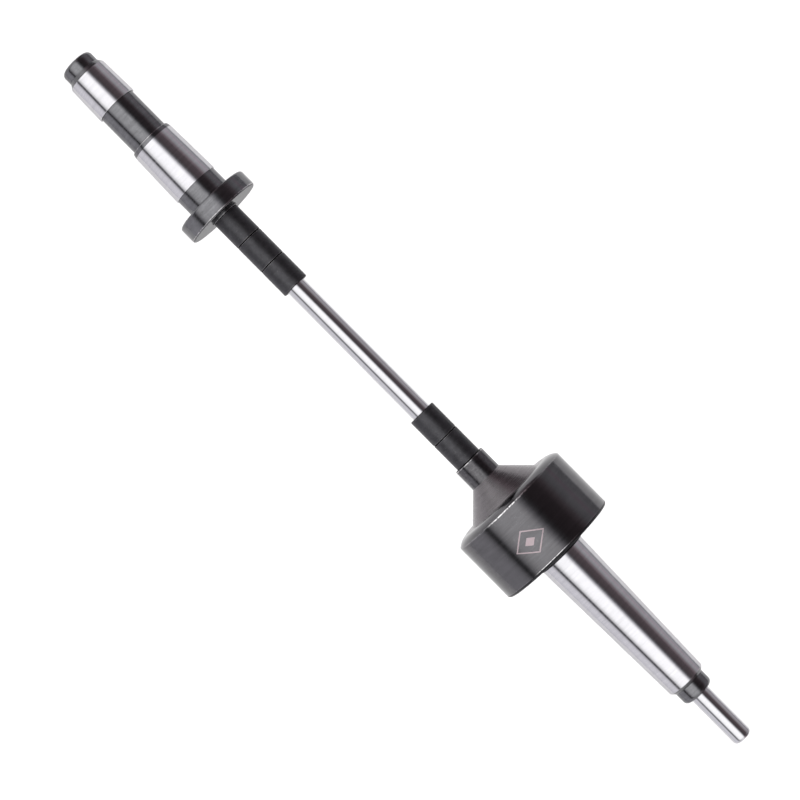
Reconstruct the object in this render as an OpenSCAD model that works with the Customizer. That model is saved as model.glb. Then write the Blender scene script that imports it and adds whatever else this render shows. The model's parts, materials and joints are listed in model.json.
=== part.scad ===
// Pen-turning mandrel carried between a headstock drive arbor and a hollow live center.
// Everything is turned, so every piece is a solid of revolution about the X axis.
// +X points to the tail end of the live center's shank, +Z is up, and the origin lies on
// the axis at the gauge plane of the live center's Morse taper. Sizes are in millimetres.

/* [Morse tapers] */
// Diameter of the taper at its gauge plane (Morse No. 2)
gauge_d = 17.78; // [17.6:0.01:18.0]
// Loss of diameter for each millimetre of length
taper_rate = 0.04995; // [0.048:0.0001:0.052]
// Distance from the gauge plane to the shoulder in front of it
gauge_gap = 5; // [4:0.5:6]

/* [Tail shank] */
// Length of ground taper behind the gauge plane
shank_taper_l = 55.7; // [50:0.1:58]
// Length from the gauge plane to the tail end
shank_l = 62.4; // [60:0.1:65]
// Diameter of the plain tail behind the taper
tail_d = 12.2; // [11.6:0.1:13]
// Radius on the tail's end
tail_round = 1.7; // [0.5:0.1:2]
// Diameter of the collar behind the head
collar_d = 18.6; // [18.4:0.1:18.8]
// Length of collar that shows behind the head
collar_l = 1.9; // [1:0.1:3]
// Through bore that the rod turns freely in
shank_bore_d = 8.1; // [8:0.1:8.6]

/* [Rotating head] */
// Outside diameter of the head
head_d = 47; // [44:0.5:50]
// Length from the front face to the back face
head_l = 26; // [26:0.1:28]
// Length of the curved lip at the front edge
lip_l = 2; // [1:0.1:2.6]
// Radial width of the curved lip
lip_w = 5; // [4:0.1:6]
// Chamfer at the back edge
head_chamfer = 0.7; // [0.3:0.1:1.2]
// Diameter of the 90 degree cone where it meets the front face
cone_d = 31; // [30:0.5:34]
// Diameter of the nose tube
nose_d = 12.4; // [11.5:0.1:14]
// Length of the nose tube
nose_l = 8.5; // [4:0.5:12]
// Bore in the nose that guides the rod
nose_bore_d = 7.6; // [7.58:0.01:7.68]

/* [Mandrel] */
// Diameter of the rod
rod_d = 7.5; // [7.3:0.01:7.5]
// Length of rod outside the arbor
rod_reach = 254; // [230:1:280]
// Distance from the arbor's boss to the nose
work_span = 119; // [112:1:130]

/* [Bushings] */
// Outside diameter of each bushing
bushing_d = 10.3; // [9.5:0.1:12]
// Length of each bushing
bushing_l = 11.5; // [8:0.1:12]
// Bore of each bushing
bushing_bore_d = 7.6; // [7.58:0.01:7.68]
// Bushings against the arbor
arbor_bushings = 3; // [3:1:3]
// Bushings against the nose
nose_bushings = 2; // [2:1:2]

/* [Drive arbor] */
// Diameter of the flange
flange_d = 29.1; // [26:0.1:34]
// Thickness of the flange
flange_t = 6.7; // [4:0.1:9]
// Diameter of the boss that the bushings butt against
boss_d = 10.9; // [10.3:0.1:14]
// Height of the boss
boss_h = 0.5; // [0.5:0.1:2]
// Diameter of the neck behind the flange
neck_d = 16.9; // [16:0.1:17.2]
// Length of the neck
neck_l = 7.2; // [6:0.1:8]
// Length of the ground band next to the neck
front_band_l = 20.7; // [15:0.1:24]
// Length from the front band to the rear band
relief_l = 17.9; // [14:0.1:20]
// Length of the ground band at the small end
rear_band_l = 14.4; // [12:0.1:17]
// Diameter between the two ground bands
relief_d = 14.5; // [14:0.1:15]
// Diameter of the plain end behind the rear band
arbor_tail_d = 12.6; // [12.2:0.1:13.2]
// Length from the flange to the plain end's face
arbor_l = 66.5; // [64:0.1:70]
// Minor diameter of the tapped drawbar hole
drawbar_hole_d = 8.5; // [8:0.1:8.8]
// Depth of the drawbar hole
drawbar_hole_l = 24; // [18:1:28]

/* [Bearings] */
// Diameter of the balls in both bearings
ball_d = 4.762; // [4.7:0.002:4.8]
// Gap between a ball and its raceways
ball_gap = 0.05; // [0.04:0.01:0.06]
// Length of the spacer between the inner rings
spacer_l = 1.1; // [1:0.1:1.2]

/* [Hidden] */
$fn = 96;
past = 1;            // how far a cutting tool runs past the face it opens
tiny = 0.01;

// Head and shank stations along X
head_back_x = -gauge_gap - collar_l;
head_face_x = head_back_x - head_l;
nose_base_x = head_face_x - (cone_d - nose_d) / 2;
nose_x = nose_base_x - nose_l;
nose_edge = 0.3;     // chamfers on the nose's rim and at the bore's mouth
rod_bore_mouth = 0.4;

// Mandrel and arbor stations along X
boss_x = nose_x - work_span;
rod_tip_x = boss_x + rod_reach;
rod_tip_round = 1.6;
rod_socket_l = 5;    // plain length of rod in the arbor, ahead of its thread
rod_thread_d = 6.8;
rod_thread_l = 13;
socket_end_gap = 0.5;
flange_x = boss_x - boss_h;
flange_back_x = flange_x - flange_t;
flange_back_round = 0.9;
flange_front_edge = 0.5;
arbor_gauge_x = flange_back_x - gauge_gap;
front_band_x = flange_back_x - neck_l;
front_band_end_x = front_band_x - front_band_l;
rear_band_x = front_band_end_x - relief_l;
rear_band_end_x = rear_band_x - rear_band_l;
arbor_end_x = flange_back_x - arbor_l;
band_lead = 1.7;     // length of the chamfers that lead up to the bands
band_step = 0.7;     // height of the front chamfer's foot above the relief
arbor_tail_round = 1.7;

// Circlips, dust cover and the shank's shoulder
circlip_t = 1.5;     // housing circlip
spindle_clip_t = 1;  // spindle circlip
clip_end_trim = 1.3; // degrees that each of a circlip's ends stops short of its eye's centre
eye_hole_share = 0.45; // hole diameter over eye diameter
cover_t = 1;
cover_sink = 0.4;    // depth of the dust cover below the head's back face
cover_gap = 0.3;     // between the dust cover and the collar
cover_rim = 1.5;     // full-thickness rims at the dust cover's two edges
cover_dish = 0.35;   // depth of the back face between the rims
shoulder_x = -8.7;   // back face of the shoulder that the rear bearing seats on
shoulder_d = 20.4;
shoulder_l = 1.6;

// Deep-groove ball bearings: the rear one is a 6003, the front one a 6002
rear_back_x = shoulder_x - shoulder_l;
rear_w = 10;
front_w = 9;
rear_front_x = rear_back_x - rear_w;
front_back_x = rear_front_x - spacer_l;
front_front_x = front_back_x - front_w;
BORE = 0;
OUTSIDE = 1;
WIDTH = 2;
COUNT = 3;           // number of balls
PITCH = 4;           // diameter of the circle through the balls' centres
MID = 5;             // x of the middle
REAR = [17, 35, rear_w, 10, 26, rear_back_x - rear_w / 2];
FRONT = [15, 32, front_w, 9, 23.5, front_back_x - front_w / 2];

raceway_r = ball_d / 2 + ball_gap;
land_drop = 1.65;    // radial distance from the pitch circle to a ring's land
shield_t = 0.4;
shield_sink = 0.35;
shield_seat = 0.55;  // radial depth of a shield's seat in the outer ring
shield_gap = 0.3;
cage_t = 2;          // radial thickness of a cage
cage_rim = 0.9;      // metal beside each pocket
pocket_gap = 0.1;
rivet_d = 1;
rivet_head_d = 1.6;
rivet_head_t = 0.25;

// Chambers inside the head
washer_space = 0.6;
bore_end_x = front_front_x - washer_space;
clip_chamber_d = 24;
clip_chamber_l = 3;
clip_chamber_x = bore_end_x - clip_chamber_l;
spindle_end_l = 2.1; // spindle ahead of the front bearing, with the circlip's groove
spindle_front_x = front_front_x - spindle_end_l;
spindle_edge = 0.5;
shank_bore_edge = 0.5;
drawbar_hole_edge = 0.6;
rod_thread_edge = 0.5;
spacer_d = 19.6;
spindle_step_gap = 0.2;
spindle_groove_d = 14.3;
housing_groove_d = 37;
groove_gap = 0.1;

// ---- Shared shapes ----

// A circle's points [x, r] from angle a0 to a1, in n steps
function arc(x, r, radius, a0, a1, n = 8) =
    [for (i = [0:n]) let (a = a0 + (a1 - a0) * i / n) [x + radius * cos(a), r + radius * sin(a)]];

// Diameter of a Morse taper at x, where the gauge plane is at gauge_x and dir is the way it narrows
function morse_d(x, gauge_x, dir) = gauge_d - taper_rate * (x - gauge_x) * dir;

// Solid of revolution about X, from an outline of [x, r] points
module turned(outline) {
    rotate([0, 90, 0]) rotate_extrude() polygon([for (p = outline) [p[1], p[0]]]);
}

// Cylinder or cone about X, from x0 to x1
module bar(x0, x1, d0, d1 = undef) {
    translate([x0, 0, 0]) rotate([0, 90, 0])
        cylinder(h = x1 - x0, d1 = d0, d2 = is_undef(d1) ? d0 : d1);
}

// Plain ring about X
module ring(x0, x1, inner_d, outer_d) {
    difference() {
        bar(x0, x1, outer_d);
        bar(x0 - past, x1 + past, inner_d);
    }
}

// Torus about X that cuts a ball groove
module raceway(b) {
    translate([b[MID], 0, 0]) rotate([0, 90, 0])
        rotate_extrude() translate([b[PITCH] / 2, 0]) circle(r = raceway_r, $fn = 48);
}

// Copies of the children around X, first one on +Z
module around(n, start = 0) {
    for (i = [0:n - 1]) rotate([start + i * 360 / n, 0, 0]) children();
}

// Open spring ring that ends in two eyes; lug is the side the eyes stand on, +1 out or -1 in
module circlip(x0, t, inner_d, outer_d, lug, eye_d, gap_angle) {
    eye_r = (lug > 0 ? outer_d : inner_d) / 2 + lug * eye_d / 4;
    difference() {
        union() {
            difference() {
                ring(x0, x0 + t, inner_d, outer_d);
                clip_slot(x0, t, outer_d, gap_angle + clip_end_trim);
            }
            clip_eyes(x0, x0 + t, eye_r, eye_d, gap_angle);
        }
        clip_eyes(x0 - past, x0 + t + past, eye_r, eye_d * eye_hole_share, gap_angle);
    }
}

// The two discs at a circlip's ends, or the holes in them
module clip_eyes(x0, x1, eye_r, d, gap_angle) {
    for (side = [-1, 1]) rotate([side * gap_angle, 0, 0]) translate([0, 0, eye_r]) bar(x0, x1, d);
}

// Wedge that opens a circlip between its eyes
module clip_slot(x0, t, reach, gap_angle) {
    side = reach * sin(gap_angle);
    top = reach * cos(gap_angle);
    translate([x0 - past, 0, 0]) rotate([0, 90, 0]) linear_extrude(t + 2 * past)
        polygon([[0, 0], [-top, side], [-top, -side]]);
}

// ---- Ball bearings ----

module outer_ring(b) {
    land_d = b[PITCH] + 2 * land_drop;
    half = b[WIDTH] / 2;
    difference() {
        ring(b[MID] - half, b[MID] + half, land_d, b[OUTSIDE]);
        raceway(b);
        for (side = [-1, 1]) {
            face = b[MID] + side * half;
            inside = face - side * (shield_sink + shield_t);
            bar(min(inside, face + side * past), max(inside, face + side * past),
                land_d + 2 * shield_seat);
        }
    }
}

module inner_ring(b) {
    difference() {
        ring(b[MID] - b[WIDTH] / 2, b[MID] + b[WIDTH] / 2, b[BORE], b[PITCH] - 2 * land_drop);
        raceway(b);
    }
}

module balls(b) {
    around(b[COUNT]) translate([b[MID], 0, b[PITCH] / 2]) sphere(d = ball_d, $fn = 40);
}

// Half of the cage on one side of the balls; side is -1 in front of them and +1 behind
module cage_half(b, side) {
    half = ball_d / 2 + pocket_gap + cage_rim;
    near = b[MID];
    far = b[MID] + side * half;
    difference() {
        ring(min(near, far), max(near, far), b[PITCH] - cage_t, b[PITCH] + cage_t);
        around(b[COUNT]) translate([b[MID], 0, b[PITCH] / 2 - cage_t])
            cylinder(h = 2 * cage_t, d = ball_d + 2 * pocket_gap);
        around(b[COUNT], 180 / b[COUNT]) translate([0, 0, b[PITCH] / 2])
            bar(b[MID] - half - past, b[MID] + half + past, rivet_d);
    }
}

module rivets(b) {
    half = ball_d / 2 + pocket_gap + cage_rim;
    around(b[COUNT], 180 / b[COUNT]) translate([0, 0, b[PITCH] / 2]) {
        bar(b[MID] - half - rivet_head_t, b[MID] + half + rivet_head_t, rivet_d);
        for (x = [b[MID] - half - rivet_head_t, b[MID] + half])
            bar(x, x + rivet_head_t, rivet_head_d);
    }
}

module shield(b, side) {
    inner = b[MID] + side * (b[WIDTH] / 2 - shield_sink - shield_t);
    outer = b[MID] + side * (b[WIDTH] / 2 - shield_sink);
    ring(min(inner, outer), max(inner, outer),
        b[PITCH] - 2 * land_drop + 2 * shield_gap, b[PITCH] + 2 * (land_drop + shield_seat));
}

// ---- Live center ----

module tail_shank() {
    taper_end_d = morse_d(shank_taper_l, 0, 1);
    step = (taper_end_d - tail_d) / 2;
    color("silver") difference() {
        turned(concat(
            [[spindle_front_x, 0], [spindle_front_x, FRONT[BORE] / 2 - spindle_edge],
             [spindle_front_x + spindle_edge, FRONT[BORE] / 2],
             [front_front_x - spindle_clip_t - groove_gap, FRONT[BORE] / 2],
             [front_front_x - spindle_clip_t - groove_gap, spindle_groove_d / 2],
             [front_front_x, spindle_groove_d / 2], [front_front_x, FRONT[BORE] / 2],
             [rear_front_x + spindle_step_gap, FRONT[BORE] / 2],
             [rear_front_x + spindle_step_gap, REAR[BORE] / 2],
             [rear_back_x, REAR[BORE] / 2], [rear_back_x, shoulder_d / 2],
             [shoulder_x, shoulder_d / 2], [shoulder_x, collar_d / 2],
             [-gauge_gap, collar_d / 2], [-gauge_gap, morse_d(-gauge_gap, 0, 1) / 2],
             [shank_taper_l, taper_end_d / 2], [shank_taper_l + step, tail_d / 2]],
            arc(shank_l - tail_round, tail_d / 2 - tail_round, tail_round, 90, 0),
            [[shank_l, 0]]));
        bar(spindle_front_x - past, shank_l + past, shank_bore_d);
        bar(shank_l - shank_bore_edge, shank_l + tiny, shank_bore_d,
            shank_bore_d + 2 * shank_bore_edge);
    }
}

module center_head() {
    lip_r = (pow(lip_w, 2) + pow(lip_l, 2)) / (2 * lip_l);
    color([0.13, 0.13, 0.14]) difference() {
        turned(concat(
            [[nose_x, 0], [nose_x, nose_d / 2 - nose_edge], [nose_x + nose_edge, nose_d / 2],
             [nose_base_x, nose_d / 2], [head_face_x, cone_d / 2]],
            arc(head_face_x + lip_r, head_d / 2 - lip_w, lip_r, 180, 180 - asin(lip_w / lip_r), 12),
            [[head_back_x - head_chamfer, head_d / 2],
             [head_back_x, head_d / 2 - head_chamfer], [head_back_x, 0]]));
        bar(nose_x - past, 0, nose_bore_d);
        bar(nose_x - tiny, nose_x + rod_bore_mouth, nose_bore_d + 2 * rod_bore_mouth, nose_bore_d);
        bar(clip_chamber_x, 0, clip_chamber_d);
        bar(bore_end_x, 0, FRONT[OUTSIDE]);
        bar(rear_front_x, 0, REAR[OUTSIDE]);
        bar(rear_back_x, rear_back_x + circlip_t + groove_gap, housing_groove_d);
    }
}

module dust_cover() {
    back = head_back_x - cover_sink;
    inner_d = collar_d + 2 * cover_gap;
    color([0.25, 0.25, 0.26]) difference() {
        ring(back - cover_t, back, inner_d, REAR[OUTSIDE]);
        ring(back - cover_dish, back + past, inner_d + 2 * cover_rim, REAR[OUTSIDE] - 2 * cover_rim);
    }
}

module housing_circlip() {
    color("dimgray") circlip(rear_back_x, circlip_t,
        inner_d = 31.2, outer_d = 36.6, lug = -1, eye_d = 3.4, gap_angle = 12);
}

module spindle_circlip() {
    color("dimgray") circlip(front_front_x - spindle_clip_t, spindle_clip_t,
        inner_d = spindle_groove_d, outer_d = 18.6, lug = 1, eye_d = 3.2, gap_angle = 14);
}

module bearing_spacer() {
    color("gainsboro") ring(front_back_x, rear_front_x, FRONT[BORE], spacer_d);
}

// Thin ring that rises and falls three times around the axis
module wave_washer() {
    inner = 13.9;
    outer = 15.8;
    thick = 0.25;
    steps = 72;
    swing = (washer_space - thick - 0.02) / 2;
    middle = (bore_end_x + front_front_x) / 2;
    corners = [[inner, -thick / 2], [outer, -thick / 2], [outer, thick / 2], [inner, thick / 2]];
    points = [for (i = [0:steps - 1], c = corners) let (a = i * 360 / steps)
        [middle + swing * cos(3 * a) + c[1], c[0] * sin(a), c[0] * cos(a)]];
    faces = [for (i = [0:steps - 1], k = [0:3]) let (j = (i + 1) % steps, m = (k + 1) % 4)
        [4 * i + k, 4 * i + m, 4 * j + m, 4 * j + k]];
    color("gainsboro") polyhedron(points, faces, convexity = 4);
}

// ---- Mandrel ----

module drive_arbor() {
    front_d = morse_d(front_band_x, arbor_gauge_x, -1);
    front_end_d = morse_d(front_band_end_x, arbor_gauge_x, -1);
    rear_d = morse_d(rear_band_x, arbor_gauge_x, -1);
    rear_end_d = morse_d(rear_band_end_x, arbor_gauge_x, -1);
    color([0.2, 0.2, 0.21]) difference() {
        turned(concat(
            [[arbor_end_x, 0]],
            arc(arbor_end_x + arbor_tail_round, arbor_tail_d / 2 - arbor_tail_round,
                arbor_tail_round, 180, 90),
            [[rear_band_end_x - band_lead, arbor_tail_d / 2], [rear_band_end_x, rear_end_d / 2],
             [rear_band_x, rear_d / 2], [rear_band_x, relief_d / 2],
             [front_band_end_x - band_lead, relief_d / 2],
             [front_band_end_x - band_lead, relief_d / 2 + band_step],
             [front_band_end_x, front_end_d / 2], [front_band_x, front_d / 2],
             [front_band_x, neck_d / 2], [flange_back_x, neck_d / 2]],
            arc(flange_back_x + flange_back_round, flange_d / 2 - flange_back_round,
                flange_back_round, 180, 90, 5),
            [[flange_x - flange_front_edge, flange_d / 2],
             [flange_x, flange_d / 2 - flange_front_edge],
             [flange_x, boss_d / 2], [boss_x, boss_d / 2], [boss_x, 0]]));
        bar(boss_x - rod_socket_l, boss_x + past, rod_d);
        bar(boss_x - rod_socket_l - rod_thread_l - socket_end_gap, boss_x, rod_thread_d);
        bar(arbor_end_x - past, arbor_end_x + drawbar_hole_l, drawbar_hole_d);
        bar(arbor_end_x - tiny, arbor_end_x + drawbar_hole_edge,
            drawbar_hole_d + 2 * drawbar_hole_edge, drawbar_hole_d);
    }
}

module mandrel_rod() {
    socket_x = boss_x - rod_socket_l;
    color("gainsboro") turned(concat(
        [[socket_x - rod_thread_l, 0], [socket_x - rod_thread_l, rod_thread_d / 2 - rod_thread_edge],
         [socket_x - rod_thread_l + rod_thread_edge, rod_thread_d / 2], [socket_x, rod_thread_d / 2],
         [socket_x, rod_d / 2]],
        arc(rod_tip_x - rod_tip_round, rod_d / 2 - rod_tip_round, rod_tip_round, 90, 0),
        [[rod_tip_x, 0]]));
}

// Bushings 1 to 3 stand against the boss, 4 and 5 against the nose
function bushing_x(i) = i <= arbor_bushings
    ? boss_x + (i - 1) * bushing_l
    : nose_x - (arbor_bushings + nose_bushings + 1 - i) * bushing_l;

module bushing(i) {
    edge = 0.25;
    x0 = bushing_x(i);
    x1 = x0 + bushing_l;
    r = bushing_d / 2;
    color([0.22, 0.22, 0.23]) difference() {
        turned([[x0, 0], [x0, r - edge], [x0 + edge, r], [x1 - edge, r], [x1, r - edge], [x1, 0]]);
        bar(x0 - past, x1 + past, bushing_bore_d);
    }
}

drive_arbor();
mandrel_rod();
bushing(1);  // bushing_1
bushing(2);  // bushing_2
bushing(3);  // bushing_3
bushing(4);  // bushing_4
bushing(5);  // bushing_5
center_head();
tail_shank();
dust_cover();
housing_circlip();
spindle_circlip();
bearing_spacer();
wave_washer();
color("silver") outer_ring(REAR);  // rear_outer_ring
color("silver") inner_ring(REAR);  // rear_inner_ring
color("white") balls(REAR);  // rear_balls
color("tan") cage_half(REAR, -1);  // rear_cage_front_half
color("tan") cage_half(REAR, 1);  // rear_cage_back_half
color("peru") rivets(REAR);  // rear_cage_rivets
color("gainsboro") shield(REAR, -1);  // rear_shield_front
color("gainsboro") shield(REAR, 1);  // rear_shield_back
color("silver") outer_ring(FRONT);  // front_outer_ring
color("silver") inner_ring(FRONT);  // front_inner_ring
color("white") balls(FRONT);  // front_balls
color("tan") cage_half(FRONT, -1);  // front_cage_front_half
color("tan") cage_half(FRONT, 1);  // front_cage_back_half
color("peru") rivets(FRONT);  // front_cage_rivets
color("gainsboro") shield(FRONT, -1);  // front_shield_front
color("gainsboro") shield(FRONT, 1);  // front_shield_back
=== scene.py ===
"""Looks of the live center and its pen mandrel: turned meshes, metal materials, light and camera.

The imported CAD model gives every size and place. Each visible turned piece is turned again here,
finer, from the outline of its CAD node, with broken edges that catch the light.
Lengths are in metres unless a name ends in _MM or _mm.
"""
import json
import math

import bmesh
import bpy
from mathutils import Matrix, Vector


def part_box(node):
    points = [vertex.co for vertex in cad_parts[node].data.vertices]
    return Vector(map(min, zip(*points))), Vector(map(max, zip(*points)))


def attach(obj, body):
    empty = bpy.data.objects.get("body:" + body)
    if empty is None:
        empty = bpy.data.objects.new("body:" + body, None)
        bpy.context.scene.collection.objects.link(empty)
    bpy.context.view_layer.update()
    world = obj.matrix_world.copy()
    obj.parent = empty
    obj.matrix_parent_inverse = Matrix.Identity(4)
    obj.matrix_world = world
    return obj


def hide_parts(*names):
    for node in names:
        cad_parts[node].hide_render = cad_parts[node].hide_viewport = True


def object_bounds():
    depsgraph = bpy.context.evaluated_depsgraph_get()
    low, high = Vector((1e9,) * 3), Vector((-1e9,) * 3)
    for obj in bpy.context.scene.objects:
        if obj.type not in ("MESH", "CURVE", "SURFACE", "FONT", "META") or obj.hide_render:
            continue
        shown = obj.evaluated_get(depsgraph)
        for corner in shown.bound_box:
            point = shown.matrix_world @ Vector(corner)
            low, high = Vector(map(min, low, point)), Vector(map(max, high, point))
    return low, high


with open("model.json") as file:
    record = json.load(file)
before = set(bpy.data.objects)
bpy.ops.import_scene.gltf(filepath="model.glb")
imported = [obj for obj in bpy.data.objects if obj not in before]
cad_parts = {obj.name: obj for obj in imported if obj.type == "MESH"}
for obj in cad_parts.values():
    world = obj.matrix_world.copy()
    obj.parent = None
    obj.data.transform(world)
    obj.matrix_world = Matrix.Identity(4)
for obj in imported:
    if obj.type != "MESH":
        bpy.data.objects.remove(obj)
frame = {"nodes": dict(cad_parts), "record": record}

CAD_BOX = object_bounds()
MM = 0.001
SEGMENTS = 256           # flats round a turned piece
SHARP_ANGLE = math.radians(30)
GAUGE_X = 0              # gauge plane of the shank's taper; its collar and the head lie before it

# ---- Camera: straight down on the tool, which lies from upper left to lower right ----

IMAGE_MM_ACROSS = 275.9  # width of the view at the turning axis
CAMERA_HEIGHT = 0.8103
CAMERA_X = -0.0820
CAMERA_Y = -0.0022
TOOL_SLOPE = 45.25       # degrees below the horizontal of the image
SENSOR = 36.0            # mm
CLIP_END = 20


def make_camera():
    data = bpy.data.cameras.new("camera")
    data.sensor_width = SENSOR
    data.lens = SENSOR * CAMERA_HEIGHT / (IMAGE_MM_ACROSS * MM)
    data.clip_end = CLIP_END
    camera = bpy.data.objects.new("camera", data)
    camera.location = (CAMERA_X, CAMERA_Y, CAMERA_HEIGHT)
    camera.rotation_euler = (0, 0, math.radians(TOOL_SLOPE))
    bpy.context.scene.collection.objects.link(camera)
    bpy.context.scene.camera = camera


# ---- Node building ----

class Nodes:
    """Adds nodes to one tree. A value given to a socket is a number, a colour or another socket."""

    def __init__(self, tree):
        self.tree = tree

    def add(self, kind, *values, **settings):
        node = self.tree.nodes.new(kind)
        for name, setting in settings.items():
            setattr(node, name, setting)
        for socket, value in zip(node.inputs, values):
            self.feed(socket, value)
        return node

    def feed(self, socket, value):
        if isinstance(value, bpy.types.NodeSocket):
            self.tree.links.new(value, socket)
        elif value is not None:
            socket.default_value = value

    def math(self, operation, *values, clamp=False):
        return self.add("ShaderNodeMath", *values, operation=operation, use_clamp=clamp).outputs[0]

    def spread(self, value, low, high, to_low=0.0, to_high=1.0):
        """value mapped smoothly from low..high to to_low..to_high."""
        node = self.add("ShaderNodeMapRange", value, low, high, to_low, to_high,
                        interpolation_type="SMOOTHSTEP")
        return node.outputs[0]

    def blend(self, factor, a, b):
        node = self.add("ShaderNodeMix", data_type="RGBA")
        self.feed(node.inputs[0], factor)
        self.feed(node.inputs[6], a)
        self.feed(node.inputs[7], b)
        return node.outputs[2]

    def brighten(self, colour, amount):
        node = self.add("ShaderNodeVectorMath", operation="SCALE")
        self.feed(node.inputs[0], colour)
        self.feed(node.inputs["Scale"], amount)
        return node.outputs[0]


NOISE_ROUGHNESS = 0.6
SEED_WAY = (1, 1.7, 0.6)  # a pattern's seed moves it this way through the noise


class Metal(Nodes):
    """A metal material whose patterns follow the turning axis, X."""

    def __init__(self, name):
        self.material = bpy.data.materials.new(name)
        self.material.use_nodes = True
        super().__init__(self.material.node_tree)
        self.shader = self.tree.nodes["Principled BSDF"]
        self.shader.inputs["Metallic"].default_value = 1.0
        self.place = self.add("ShaderNodeTexCoord").outputs["Object"]

    def grain(self, along_mm, round_mm, detail, seed=0.0):
        """Noise from about 0.2 to 0.8, with marks along_mm long on X and round_mm long round it."""
        scaled = self.add("ShaderNodeVectorMath", self.place,
                          (1 / (along_mm * MM), 1 / (round_mm * MM), 1 / (round_mm * MM)),
                          operation="MULTIPLY").outputs[0]
        moved = self.add("ShaderNodeVectorMath", scaled, tuple(seed * way for way in SEED_WAY),
                         operation="ADD").outputs[0]
        noise = self.add("ShaderNodeTexNoise", moved, noise_dimensions="3D")
        noise.inputs["Scale"].default_value = 1.0
        noise.inputs["Detail"].default_value = detail
        noise.inputs["Roughness"].default_value = NOISE_ROUGHNESS
        return noise.outputs[0]

    def attribute(self, name):
        return self.add("ShaderNodeAttribute", attribute_name=name).outputs["Fac"]

    def shade(self, colour, roughness):
        self.feed(self.shader.inputs["Base Color"], colour)
        self.feed(self.shader.inputs["Roughness"], roughness)

    def raise_by(self, height, depth_mm):
        bump = self.add("ShaderNodeBump", 1.0, depth_mm * MM)
        self.feed(bump.inputs["Height"], height)
        self.feed(self.shader.inputs["Normal"], bump.outputs[0])


# Marks on turned metal: the grain's lengths, detail and seed, and where its noise starts to show
# and shows in full
FINE_ROUND_MM = 9        # the tool lines' length round the piece
COARSE_TIMES = 5         # coarser lines are this many times as wide
COARSE_ROUND_MM = 25
SPECKLES = dict(along_mm=0.22, round_mm=0.22, detail=1, seed=11), (0.66, 0.74)
ROUND_SCRATCHES = dict(along_mm=0.09, round_mm=3.2, detail=2, seed=5.5), (0.70, 0.76)
LONG_SCRATCHES = dict(along_mm=1.9, round_mm=0.16, detail=1, seed=8.8), (0.73, 0.78)
WORN_PATCHES = dict(along_mm=0.5, round_mm=0.9, detail=3, seed=2.2), (0.36, 0.56)
RAGGED_PRINT = dict(along_mm=0.12, round_mm=0.12, detail=2, seed=4), (0.3, 0.5)


def marks(metal, pattern, least=0.0, most=1.0):
    """One of the patterns above, from least where it doesn't show to most where it does."""
    grain, (start, full) = pattern
    return metal.spread(metal.grain(**grain), start, full, least, most)


def turned_metal(name, colour, roughness, lines=0.25, lines_mm=0.12, blotches=0.2, blotch_mm=2.5,
                 rough_lines=0.08, rough_blotches=0.05, wear=0.6, bare=(0.55, 0.53, 0.54, 1),
                 scratches=0.0, speckle=0.0, bump_mm=0.0012, glancing=1.0, print_on=None):
    """Turned or ground steel: tool lines round it, blotches, worn edges and stray scratches.
    lines, blotches, rough_lines and rough_blotches say how much those vary colour and roughness.
    bare is the metal that shows where it is worn, speckled or scratched. glancing dims what it
    reflects at glancing angles. print_on(metal) gives a mask of a print in pale ink."""
    metal = Metal(name)
    tool_lines = metal.grain(lines_mm, FINE_ROUND_MM, detail=4)
    coarse_lines = metal.grain(lines_mm * COARSE_TIMES, COARSE_ROUND_MM, detail=2, seed=7.3)
    patches = metal.grain(blotch_mm, blotch_mm, detail=4, seed=3.1)
    level = metal.math("MULTIPLY_ADD", tool_lines, 2 * lines, 1 - lines)
    level = metal.math("MULTIPLY", level,
                       metal.math("MULTIPLY_ADD", coarse_lines, lines, 1 - lines / 2))
    level = metal.math("MULTIPLY", level,
                       metal.math("MULTIPLY_ADD", patches, 2 * blotches, 1 - blotches))
    tone = metal.brighten(colour, level)
    gloss = metal.math("MULTIPLY_ADD", tool_lines, rough_lines, roughness - rough_lines / 2)
    gloss = metal.math("ADD", gloss,
                       metal.math("MULTIPLY_ADD", patches, rough_blotches, -rough_blotches / 2))
    if speckle:
        tone = metal.blend(marks(metal, SPECKLES, most=speckle), tone, bare)
    if scratches:
        scratched = metal.math("MAXIMUM", marks(metal, ROUND_SCRATCHES, most=scratches),
                               marks(metal, LONG_SCRATCHES, most=scratches))
        tone = metal.blend(scratched, tone, bare)
    if wear:
        worn = metal.math("MULTIPLY", metal.attribute("wear"), marks(metal, WORN_PATCHES))
        tone = metal.blend(metal.math("MULTIPLY", worn, wear), tone, bare)
    if print_on:
        printed = print_on(metal)
        tone = metal.blend(printed, tone, MARK_COLOUR)
        gloss = metal.math("MULTIPLY_ADD", printed, MARK_DULLNESS, gloss)
    metal.shade(tone, gloss)
    metal.feed(metal.shader.inputs["Specular Tint"], (glancing, glancing, glancing, 1))
    metal.raise_by(metal.math("ADD", tool_lines, patches), bump_mm)
    return metal.material


# ---- A plain lozenge, marked on the head ----

HEAD_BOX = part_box("center_head")
HEAD_RADIUS = HEAD_BOX[1].z
MARK_X_MM = -17.6        # middle of the mark along the axis
MARK_TURN = 11.5         # degrees round from the top, towards -Y
MARK_HALF_MM = (5.0, 6.6)  # half its size along the axis and round the head
MARK_LINE = 0.11         # thickness of its line, as a share of its size
MARK_CORE = 0.34         # size of its solid core, as a share of its size
MARK_COLOUR = (0.46, 0.38, 0.40, 1)
MARK_DULLNESS = 0.4      # added roughness
MARK_COVER = (0.6, 0.95)  # the pale ink covers this much, thinnest and thickest


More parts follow.
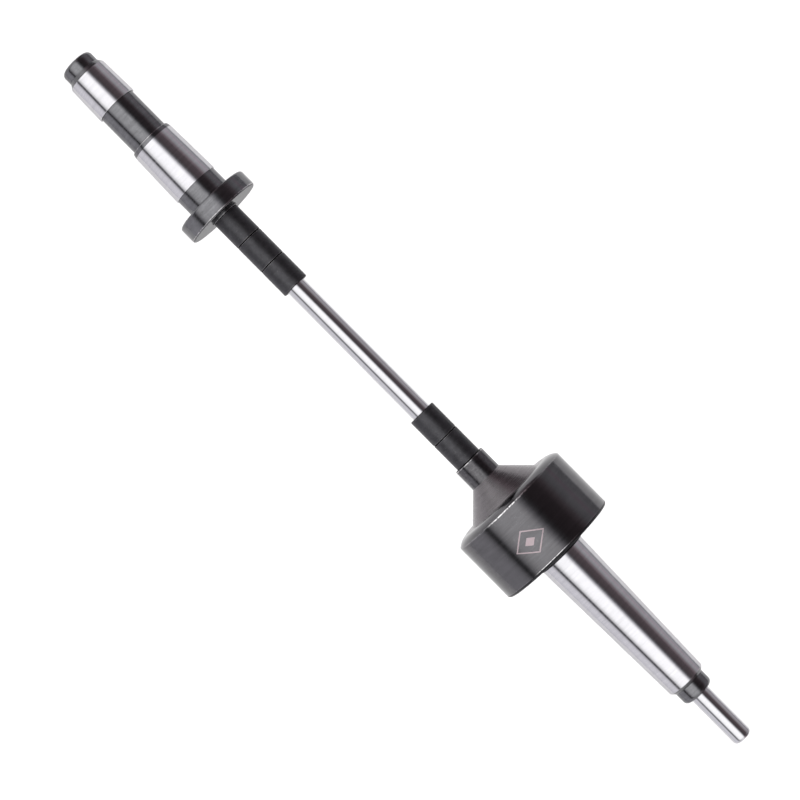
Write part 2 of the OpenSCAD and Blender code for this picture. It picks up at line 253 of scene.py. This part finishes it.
def lozenge_mark(metal):
    """1 on the outline and on the core of the lozenge, 0 elsewhere."""
    split = metal.add("ShaderNodeSeparateXYZ", metal.place).outputs
    radius_mm = HEAD_RADIUS / MM
    turn = metal.math("ARCTAN2", metal.math("MULTIPLY", split[1], -1.0), split[2])
    along = metal.math("MULTIPLY_ADD", split[0], 1 / (MM * MARK_HALF_MM[0]),
                       -MARK_X_MM / MARK_HALF_MM[0])
    across = metal.math("MULTIPLY_ADD", turn, radius_mm / MARK_HALF_MM[1],
                        -math.radians(MARK_TURN) * radius_mm / MARK_HALF_MM[1])
    reach = metal.math("ADD", metal.math("ABSOLUTE", along), metal.math("ABSOLUTE", across))
    mask = metal.math("MAXIMUM", band(metal, reach, 1 - MARK_LINE, 1),
                      band(metal, reach, -1, MARK_CORE))
    return metal.math("MULTIPLY", mask, marks(metal, RAGGED_PRINT, *MARK_COVER))


def band(metal, value, low, high):
    """1 where low < value < high."""
    above = metal.math("GREATER_THAN", value, low)
    return metal.math("MULTIPLY", above, metal.math("LESS_THAN", value, high))


# ---- Materials ----

MATERIALS = {
    # its bare colour shows on the worn front corner, partly as a painted highlight near the top
    "head_black": turned_metal("head_black", (0.114, 0.111, 0.117), 0.16, lines=0.30, lines_mm=0.30,
                               blotches=0.14, blotch_mm=3.5, rough_lines=0.12, wear=1.8,
                               bare=(0.72, 0.70, 0.71, 1), scratches=0.2, glancing=0.88,
                               print_on=lozenge_mark),
    "cone_black": turned_metal("cone_black", (0.170, 0.158, 0.166), 0.27, lines=0.30, lines_mm=0.25,
                               blotches=0.22, blotch_mm=3.0, wear=0.5),
    "nose_black": turned_metal("nose_black", (0.098, 0.095, 0.100), 0.20, lines=0.45, lines_mm=0.30,
                               blotches=0.7, blotch_mm=0.9, rough_blotches=0.15, wear=0.9),
    "dull_black": turned_metal("dull_black", (0.030, 0.030, 0.032), 0.45, lines=0.2, blotches=0.3,
                               wear=0),
    # painted shade: near-black chamfers where the bushings meet
    "seam_painted_shade": turned_metal("seam_painted_shade", (0.008, 0.008, 0.009), 0.55, wear=0, glancing=0.3),
    "arbor_black": turned_metal("arbor_black", (0.150, 0.149, 0.157), 0.16, lines=0.35,
                                lines_mm=0.28, blotches=0.3, blotch_mm=1.6, rough_lines=0.14,
                                wear=1.0, speckle=0.10, scratches=0.2, glancing=0.8),
    "face_black": turned_metal("face_black", (0.120, 0.120, 0.126), 0.26, lines=0.4, lines_mm=0.2,
                               blotches=0.3, wear=0.4, glancing=0.6),
    "bushing_black": turned_metal("bushing_black", (0.062, 0.061, 0.066), 0.48, lines=0.2,
                                  lines_mm=0.3, blotches=0.5, blotch_mm=2.2, rough_blotches=0.15,
                                  wear=0.5, speckle=0.2, bump_mm=0.004),
    "ground_steel": turned_metal("ground_steel", (0.549, 0.541, 0.563), 0.13, lines=0.16,
                                 lines_mm=0.32, blotches=0.05, blotch_mm=5, rough_lines=0.20,
                                 rough_blotches=0.02, wear=0.3, bare=(0.8, 0.8, 0.8, 1),
                                 bump_mm=0.0005, glancing=0.75),
    "polished_steel": turned_metal("polished_steel", (0.555, 0.55, 0.57), 0.15, lines=0.08,
                                   lines_mm=0.30, blotches=0.05, blotch_mm=4, rough_lines=0.12,
                                   rough_blotches=0.03, wear=0.3, bare=(0.8, 0.8, 0.8, 1),
                                   bump_mm=0.0005),
    "bearing_steel": turned_metal("bearing_steel", (0.62, 0.62, 0.64), 0.12, lines=0.08,
                                  lines_mm=0.07, blotches=0.05, wear=0),
    "pressed_steel": turned_metal("pressed_steel", (0.42, 0.42, 0.43), 0.38, lines=0.05,
                                  lines_mm=0.5, blotches=0.2, blotch_mm=1.2, wear=0),
    "spring_steel": turned_metal("spring_steel", (0.12, 0.12, 0.125), 0.36, lines=0.2,
                                 lines_mm=0.3, blotches=0.3, blotch_mm=1.5, wear=0),
}


# ---- Turned pieces ----

SAME_POINT = 4e-6        # outline points closer than this are one
STRAIGHT = math.radians(1)  # an outline that turns less than this at a point is straight there,
CORNER = math.radians(20)   # and one that turns outwards by this has an edge to break
ROUND_STEPS = 4          # points on a broken edge
MOST_REACH = 0.3         # a broken edge takes at most this share of a stretch next to it,
MOST_WORN = 0.45         # and its wear ends within this share,
LEAST_WORN = 1.9         # but runs at least to this many times the edge's reach


def outline_of(node):
    """(points, closed): the CAD node's outline as (x, r) in order, read from its mesh.
    Edges that run round the axis join equal points and drop out."""
    mesh = frame["nodes"][node].data
    known = {}
    keys = []
    for v in mesh.vertices:
        exact = (round(v.co.x, 6), round(math.hypot(v.co.y, v.co.z), 6))
        if exact not in known:
            same = [k for k in known.values() if math.dist(k, exact) < SAME_POINT]
            known[exact] = same[0] if same else exact
        keys.append(known[exact])
    near = {}
    for edge in mesh.edges:
        a, b = (keys[i] for i in edge.vertices)
        if a != b:
            near.setdefault(a, set()).add(b)
            near.setdefault(b, set()).add(a)
    ends = [k for k in near if len(near[k]) == 1]
    path = [min(ends) if ends else min(near)]
    for _ in range(len(near)):
        onward = [k for k in near[path[-1]] if k not in path]
        if onward:
            path.append(onward[0])
    if len(path) != len(near):
        raise ValueError(f"{node}: the walk found {len(path)} of the outline's {len(near)} points")
    if ends:
        path = [(path[0][0], 0.0)] + path + [(path[-1][0], 0.0)]
    last = len(path) - 1
    corners = [b for i, b in enumerate(path) if (ends and i in (0, last))
               or abs(turn_at(path[i - 1], b, path[(i + 1) % len(path)])) > STRAIGHT]
    return corners, not ends


def turn_at(a, b, c):
    """Signed angle of the corner at b between two stretches of an outline."""
    first = math.atan2(b[1] - a[1], b[0] - a[0])
    second = math.atan2(c[1] - b[1], c[0] - b[0])
    return (second - first + math.pi) % (2 * math.pi) - math.pi


def signed_area(points):
    pairs = zip(points, points[1:] + points[:1])
    return sum(a[0] * b[1] - b[0] * a[1] for a, b in pairs) / 2


def softened(points, closed, radius, worn):
    """[(x, r, wear)]: the outline with its outer corners rounded. wear is 1 on those corners, and a
    guard point past each one, the length worn away if there is room, brings it back to 0."""
    side = math.copysign(1, signed_area(points))
    result = []
    count = len(points)
    for i, b in enumerate(points):
        if not closed and i in (0, count - 1):
            result.append((*b, 0.0))
            continue
        a, c = points[i - 1], points[(i + 1) % count]
        turn = turn_at(a, b, c)
        if turn * side < CORNER:
            result.append((*b, 0.0))
            continue
        reach = min(radius * math.tan(abs(turn) / 2), MOST_REACH * math.dist(a, b),
                    MOST_REACH * math.dist(b, c))
        before = [b[k] + (a[k] - b[k]) * reach / math.dist(a, b) for k in (0, 1)]
        after = [b[k] + (c[k] - b[k]) * reach / math.dist(b, c) for k in (0, 1)]
        guards = [max(LEAST_WORN,
                      min((reach + worn) / reach, MOST_WORN * math.dist(b, end) / reach))
                  for end in (a, c)]
        result.append((*[b[k] + (before[k] - b[k]) * guards[0] for k in (0, 1)], 0.0))
        for s in range(ROUND_STEPS + 1):
            t = s / ROUND_STEPS
            result.append((*[(1 - t) ** 2 * before[k] + 2 * t * (1 - t) * b[k] + t * t * after[k]
                             for k in (0, 1)], 1.0))
        result.append((*[b[k] + (after[k] - b[k]) * guards[1] for k in (0, 1)], 0.0))
    return result


def revolve(name, rings, closed):
    """A mesh object turned about X from [(x, r, wear)]. A ring with r = 0 is one point."""
    shape = bmesh.new()
    wear = shape.verts.layers.float.new("wear")
    loops = []
    for x, r, worn in rings:
        loop = []
        for s in range(1 if r == 0 else SEGMENTS):
            turn = 2 * math.pi * s / SEGMENTS
            vertex = shape.verts.new((x, r * math.sin(turn), r * math.cos(turn)))
            vertex[wear] = worn
            loop.append(vertex)
        loops.append(loop)
    pairs = list(zip(loops, loops[1:] + loops[:1])) if closed else list(zip(loops, loops[1:]))
    for a, b in pairs:
        for s in range(SEGMENTS):
            n = (s + 1) % SEGMENTS
            corners = [a[s % len(a)], a[n % len(a)], b[n % len(b)], b[s % len(b)]]
            corners = [v for k, v in enumerate(corners) if v not in corners[:k]]
            shape.faces.new(corners)
    bmesh.ops.recalc_face_normals(shape, faces=shape.faces)
    mesh = bpy.data.meshes.new(name)
    shape.to_mesh(mesh)
    shape.free()
    mesh.shade_smooth()
    mesh.set_sharp_from_angle(angle=SHARP_ANGLE)
    piece = bpy.data.objects.new(name, mesh)
    bpy.context.scene.collection.objects.link(piece)
    return piece


def paint(piece, *zones):
    """zones are (material, test), and each face takes the last material whose test(x, r) holds."""
    for name, _ in zones:
        piece.data.materials.append(MATERIALS[name])
    for face in piece.data.polygons:
        x, y, z = face.center
        for slot, (_, test) in enumerate(zones):
            if test(x, math.hypot(y, z)):
                face.material_index = slot


def turned_piece(node, body, zones, edge_mm=0.15, worn_mm=0.0):
    points, closed = outline_of(node)
    piece = revolve(node + "_turned", softened(points, closed, edge_mm * MM, worn_mm * MM), closed)
    paint(piece, *zones)
    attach(piece, body)
    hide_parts(node)
    return piece


def everywhere(x, r):
    return True


def over(least_r):
    """Test for faces at a radius over least_r."""
    return lambda x, r: r > least_r


def outside(low, high, least_r):
    """Test for faces between low and high along X, at a radius over least_r."""
    return lambda x, r: low < x < high and r > least_r


# The head
HEAD_EDGE_MM = 0.8
HEAD_WORN_MM = 0.2       # the wear runs on this far past an edge
BACK_EDGE = 1.0 * MM     # black chamfer and rim at the back
BACK_RIM = 0.9           # least radius of that rim, as a share of the head's
NOSE_FACE = 0.25 * MM    # dark front of the nose
NOSE_END = 1.0 * MM      # the nose's outside starts within this of its front
NOSE_WALL = 0.75         # its bore is dark, inside this share of its radius
SAME_RADIUS = 0.05 * MM
LIP_START = 0.6          # the lip starts over this share of the head's radius
SCUFF_HIGHLIGHT_TURN = 4           # painted highlight and bare wear on the front corner, here in degrees from the top towards -Y,
SCUFF_HIGHLIGHT_HALF = 27          # for this far to each side,
SCUFF_LEAST = 0.12       # and only by this share elsewhere


def scuff_and_highlight(piece, start):
    """Past start along X, keeps the full wear only near the turn set above, close to the top of the
    head: the bare corner there is partly real wear and partly a painted highlight of the overhead
    light.
    """
    wear = piece.data.attributes["wear"].data
    for vertex in piece.data.vertices:
        x, y, z = vertex.co
        if x > start:
            away = abs(math.degrees(math.atan2(-y, z)) - SCUFF_HIGHLIGHT_TURN) / SCUFF_HIGHLIGHT_HALF
            wear[vertex.index].value *= max(SCUFF_LEAST, 1 - away ** 4)


def make_head():
    points, _ = outline_of("center_head")
    widest = max(r for _, r in points)
    nose_x = min(x for x, _ in points)
    nose_r = max(r for x, r in points if x < nose_x + NOSE_END)
    cone_start = max(x for x, r in points if abs(r - nose_r) < SAME_RADIUS)
    lip_x = min(x for x, r in points if r > LIP_START * widest)
    head = turned_piece("center_head", "head", [
        ("head_black", everywhere),
        ("cone_black", outside(cone_start, lip_x, nose_r)),
        ("nose_black", outside(nose_x + NOSE_FACE, cone_start, NOSE_WALL * nose_r)),
        ("dull_black", lambda x, r: x < nose_x + NOSE_FACE),
        ("dull_black", outside(HEAD_BOX[1].x - BACK_EDGE, GAUGE_X, BACK_RIM * widest)),
    ], HEAD_EDGE_MM, HEAD_WORN_MM)
    # painted highlight: the worn front corner stays bright only near the top, where the overhead
    # light falls
    scuff_and_highlight(head, lip_x)


# The two tapered pieces
BAND_LENGTH = 10 * MM    # a ground band is longer than this,
BAND_SLOPE = (0.02, 0.03)  # its slope is between these,
BAND_EDGE = 0.3 * MM     # and it ends where the surface is this much lower


def ground_bands(node):
    """(low x, high x, least radius) of the ground tapers: the long stretches at a Morse slope."""
    points, _ = outline_of(node)
    bands = []
    for a, b in zip(points, points[1:]):
        run, rise = abs(b[0] - a[0]), abs(b[1] - a[1])
        if run > BAND_LENGTH and BAND_SLOPE[0] < rise / run < BAND_SLOPE[1]:
            bands.append((min(a[0], b[0]), max(a[0], b[0]), min(a[1], b[1]) - BAND_EDGE))
    return bands


FRONT_FACE = 0.9 * MM    # the arbor's front face, and the boss on it, are duller


def make_tapered(node, body, edge_mm):
    zones = [("arbor_black", everywhere)]
    if node == "tail_shank":
        zones.append(("dull_black", lambda x, r: x < GAUGE_X))
    zones += [("ground_steel", outside(*stretch)) for stretch in ground_bands(node)]
    if node == "drive_arbor":
        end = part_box(node)[1].x
        zones.append(("face_black", lambda x, r: x > end - FRONT_FACE))
    turned_piece(node, body, zones, edge_mm)


# The bushings
SEAM_DEPTH = 0.02 * MM   # a chamfer takes near-black painted shade where it is this far below the outside,
CHAMFER = 0.3 * MM       # down to this far


def make_visible_pieces():
    make_head()
    make_tapered("drive_arbor", "mandrel", edge_mm=0.2)
    make_tapered("tail_shank", "shank", edge_mm=0.15)
    turned_piece("mandrel_rod", "mandrel", [("polished_steel", everywhere)],
                 edge_mm=0.1)
    turned_piece("dust_cover", "head", [("spring_steel", everywhere)], edge_mm=0.1)
    for node in frame["nodes"]:
        if node.startswith("bushing_"):
            outside_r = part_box(node)[1].z
            turned_piece(node, node, [
                ("dull_black", everywhere),
                # painted shade in the seams between bushings
                ("seam_painted_shade", over(outside_r - CHAMFER)),
                ("bushing_black", over(outside_r - SEAM_DEPTH)),
            ], edge_mm=0.12)


def paint_inner_nodes():
    """Nodes that keep their CAD mesh take the material named in the record."""
    slots = {part["node"]: part["material_slot"] for part in frame["record"]["subparts"]}
    for name, node in frame["nodes"].items():
        material = MATERIALS.get(slots[name])
        if material:
            node.data.materials.clear()
            node.data.materials.append(material)


# ---- Stage: pale floor and a soft studio, brighter overhead ----

FLOOR_DROP = 0.6         # the floor lies this far under the part, so the part casts no shadow on it
FLOOR_SIZE = 2.4
FLOOR_GREY = (0.9, 0.9, 0.9, 1)
FLOOR_ROUGHNESS = 0.9
FLOOR_GLOW = 0.3         # it is lit a little from inside, which keeps it pale
WHITE = (1, 1, 1, 1)

BRIGHTEST = 2.0          # the ramps hold light as a share of this
GREY, MAUVE, PINK, COOL = (1, 1, 1), (1.0, 0.80, 0.87), (1.0, 0.72, 0.87), (0.99, 0.98, 1.03)
# (angle round X from straight up towards -Y in degrees, brightness, tint)
STUDIO = [
    (-180, 0.92, GREY), (-150, 0.68, GREY), (-133, 0.50, GREY), (-118, 0.41, COOL),
    (-105, 0.43, COOL), (-97, 0.51, COOL), (-93, 0.52, PINK), (-88, 0.51, COOL),
    (-76, 0.42, COOL), (-64, 0.24, MAUVE),
    (-54, 0.12, MAUVE), (-28, 0.085, MAUVE), (-20, 0.13, COOL), (-12, 0.75, COOL), (-4, 1.65, GREY),
    (4, 1.80, GREY), (30, 1.75, GREY), (42, 1.60, GREY), (51, 1.10, GREY), (57, 0.60, COOL),
    (59, 0.10, COOL), (65, 0.07, COOL), (68, 0.42, COOL), (73, 0.82, COOL), (80, 1.00, COOL),
    (95, 1.04, COOL), (117, 0.90, COOL), (140, 0.86, COOL), (180, 0.92, GREY),
]
# What lies along X is lit by how far it lies to +Y: (y, brightness, tint)
END_LIGHT = [
    (-1.0, 0.95, GREY), (-0.40, 0.95, GREY), (-0.15, 1.25, GREY), (-0.02, 1.25, GREY),
    (0.08, 0.90, GREY), (0.20, 0.42, MAUVE), (0.32, 0.20, MAUVE),
    (0.45, 0.15, MAUVE), (0.60, 0.20, COOL), (1.0, 0.45, GREY),
]
END_START, END_FULL = 0.55, 0.92  # how far along X a direction points as END_LIGHT comes in


def ramp(nodes, position, stops):
    """Light at a position from 0 to 1, from stops (position, brightness, tint)."""
    node = nodes.add("ShaderNodeValToRGB", position)
    elements = node.color_ramp.elements
    while len(elements) < len(stops):
        elements.new(0.5)
    for element, (place, bright, tint) in zip(elements, stops):
        element.position = place
        element.color = (*[bright * t / BRIGHTEST for t in tint], 1)
    return nodes.brighten(node.outputs[0], BRIGHTEST)


def make_studio():
    world = bpy.data.worlds.new("studio")
    bpy.context.scene.world = world
    world.use_nodes = True
    nodes = Nodes(world.node_tree)
    background = world.node_tree.nodes["Background"]
    way = nodes.add("ShaderNodeTexCoord").outputs["Generated"]
    split = nodes.add("ShaderNodeSeparateXYZ", way).outputs
    turn = nodes.math("ARCTAN2", nodes.math("MULTIPLY", split[1], -1.0), split[2])
    light = ramp(nodes, nodes.math("MULTIPLY_ADD", turn, 0.5 / math.pi, 0.5),
                 [((angle + 180) / 360, bright, tint) for angle, bright, tint in STUDIO])
    end_light = ramp(nodes, nodes.math("MULTIPLY_ADD", split[1], 0.5, 0.5),
                     [((y + 1) / 2, bright, tint) for y, bright, tint in END_LIGHT])
    endwise = nodes.spread(nodes.math("ABSOLUTE", split[0]), END_START, END_FULL)
    light = nodes.blend(endwise, light, end_light)
    seen = nodes.add("ShaderNodeLightPath").outputs["Is Camera Ray"]
    nodes.feed(background.inputs["Color"], nodes.blend(seen, light, WHITE))


def make_floor():
    shape = bmesh.new()
    bmesh.ops.create_grid(shape, x_segments=1, y_segments=1, size=FLOOR_SIZE / 2)
    mesh = bpy.data.meshes.new("floor")
    shape.to_mesh(mesh)
    shape.free()
    floor = bpy.data.objects.new("floor", mesh)
    floor.location = (CAMERA_X, 0, CAD_BOX[0][2] - FLOOR_DROP)
    paper = bpy.data.materials.new("paper")
    paper.use_nodes = True
    shader = paper.node_tree.nodes["Principled BSDF"]
    shader.inputs["Base Color"].default_value = FLOOR_GREY
    shader.inputs["Roughness"].default_value = FLOOR_ROUGHNESS
    shader.inputs["Emission Color"].default_value = WHITE
    shader.inputs["Emission Strength"].default_value = FLOOR_GLOW
    mesh.materials.append(paper)
    bpy.context.scene.collection.objects.link(floor)


make_camera()
make_studio()
make_floor()
make_visible_pieces()
paint_inner_nodes()
bpy.context.scene.view_settings.view_transform = "Standard"
